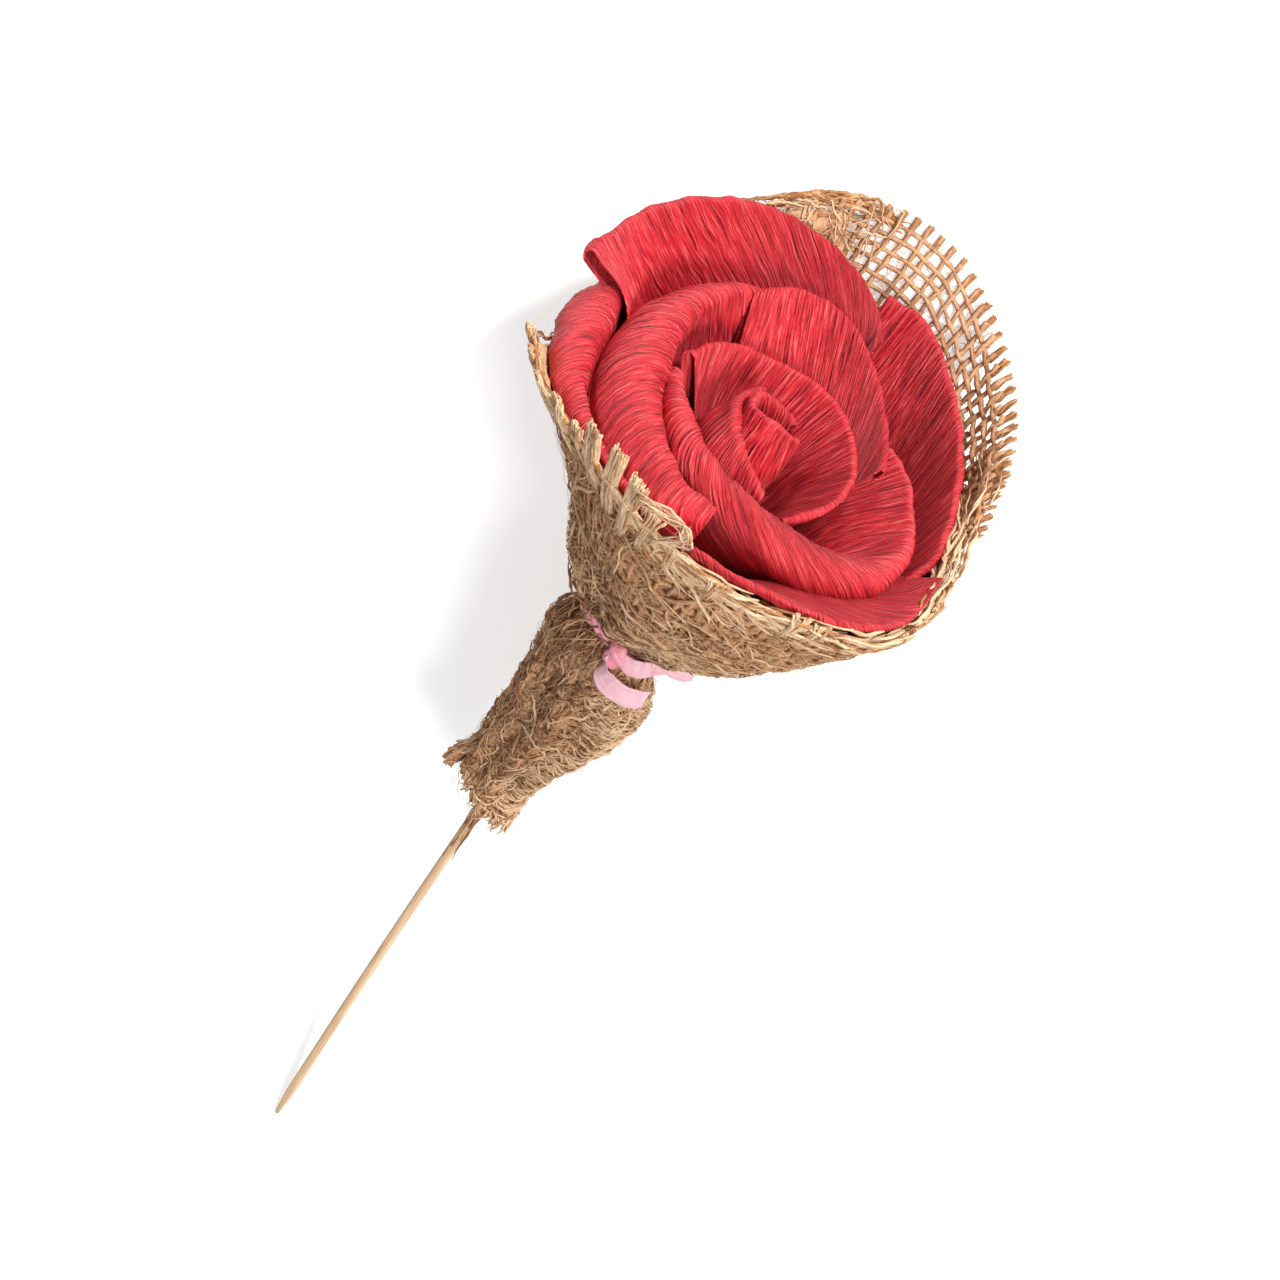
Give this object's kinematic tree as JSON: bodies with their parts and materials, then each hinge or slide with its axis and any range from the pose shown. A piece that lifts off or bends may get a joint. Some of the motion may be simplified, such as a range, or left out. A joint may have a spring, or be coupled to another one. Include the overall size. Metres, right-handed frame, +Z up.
{
  "type": "crepe paper rose",
  "caption": "Rolled crepe paper rose in a pleated burlap wrap, tied with satin ribbon on a bamboo skewer stem and lying on its side.",
  "frame": {"origin": "middle of the flat where the wrap rests on the table", "axes": "+Z up from the table, +X along the rose from the tip of the stick toward the bloom, +Y to the bloom's left seen from the tip"},
  "size_m": [0.3132, 0.1024, 0.0966],
  "materials": {
    "crepe_paper": "red crepe paper with a fine crinkle across the strip",
    "burlap": "loose plain-weave jute, hairy and unfinished",
    "satin_ribbon": "pale pink satin",
    "bamboo": "plain unvarnished bamboo"
  },
  "bodies": {
    "root": {"crepe_bloom": "crepe_paper", "burlap_wrap": "burlap", "ribbon_tie": "satin_ribbon", "bamboo_skewer": "bamboo"}
  },
  "joints": []
}
